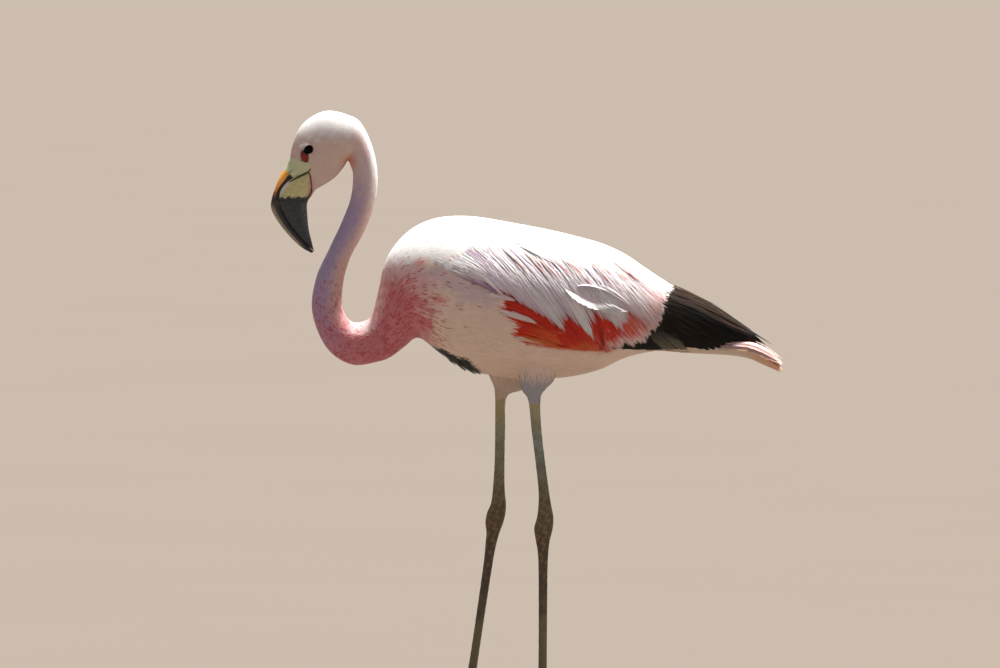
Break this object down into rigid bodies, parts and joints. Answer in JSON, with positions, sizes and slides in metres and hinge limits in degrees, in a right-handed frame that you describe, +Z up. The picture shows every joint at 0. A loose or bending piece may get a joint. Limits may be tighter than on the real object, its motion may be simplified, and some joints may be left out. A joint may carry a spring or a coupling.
{
  "type": "andean flamingo standing model",
  "caption": "Life-size museum-type model of an adult Andean flamingo, standing with its neck in a low S and its hooked bill pointing down.",
  "frame": {"origin": "on the floor, below the middle of the bird's whole length and width", "axes": "+Z up, -X the way the bird faces, -Y the bird's left side"},
  "size_m": [0.64, 0.1712, 0.7563],
  "materials": {
    "plumage_pale": "matte down feathers",
    "plumage_neck": "matte short feathers",
    "plumage_wing": "matte long feathers",
    "plumage_black": "satin flight feathers",
    "bill_pale": "satin horn",
    "bill_dark": "satin horn",
    "eye": "wet and glossy",
    "leg_skin": "scaly skin",
    "claw": "horn"
  },
  "bodies": {
    "root": {"head": "plumage_pale", "neck_upper": "plumage_neck", "neck_middle": "plumage_neck", "neck_lower": "plumage_neck", "trunk": "plumage_pale", "wing_left": "plumage_wing", "wing_right": "plumage_wing", "flight_feathers_left": "plumage_black", "flight_feathers_right": "plumage_black", "tail": "plumage_wing", "thigh_left": "plumage_pale", "thigh_right": "plumage_pale", "upper_bill": "bill_dark", "lower_bill": "bill_pale", "eye_left": "eye", "eye_right": "eye", "shank_left": "leg_skin", "shank_right": "leg_skin", "tarsus_left": "leg_skin", "tarsus_right": "leg_skin", "foot_left": "leg_skin", "foot_right": "leg_skin", "claw_left_inner": "claw", "claw_left_middle": "claw", "claw_left_outer": "claw", "claw_right_inner": "claw", "claw_right_middle": "claw", "claw_right_outer": "claw"}
  },
  "joints": []
}
